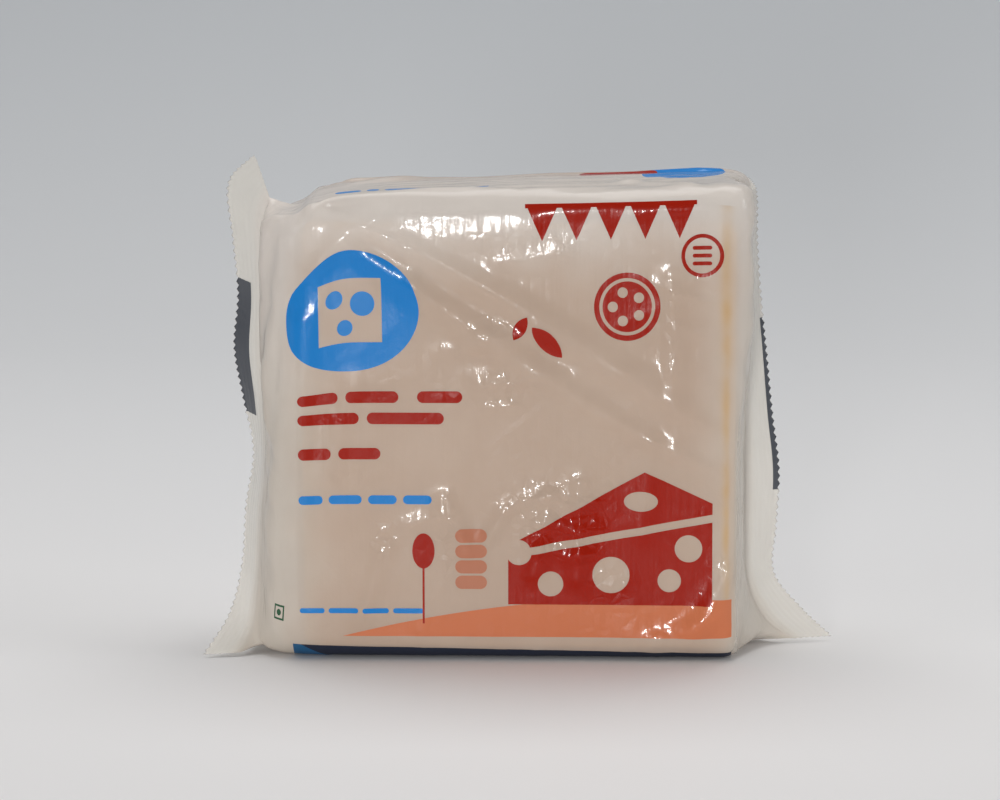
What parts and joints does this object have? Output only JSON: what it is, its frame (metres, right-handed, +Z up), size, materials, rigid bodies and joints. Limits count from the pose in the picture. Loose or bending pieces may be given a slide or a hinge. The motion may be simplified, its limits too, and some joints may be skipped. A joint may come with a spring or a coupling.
{
  "type": "pack of sliced cheese",
  "caption": "Sealed flow-wrap pack of square cheese slices in clear milky film, with crimped zigzag end seals and spread ears, standing on its narrow side.",
  "frame": {"origin": "middle of the flat base that the pack stands on", "axes": "+X along the wrapping film to the right end seal, +Y from the printed front to the lapped back, +Z up"},
  "size_m": [0.1209, 0.036, 0.0955],
  "materials": {
    "milky_film": "glossy milky film with creases, printed inside in red, orange, blue and navy",
    "cheese": "smooth pale cheese, slightly waxy",
    "sleeve_film": "clear thin sleeve film with crimped ends"
  },
  "bodies": {
    "root": {"film_wrapper": "milky_film"}
  },
  "joints": []
}
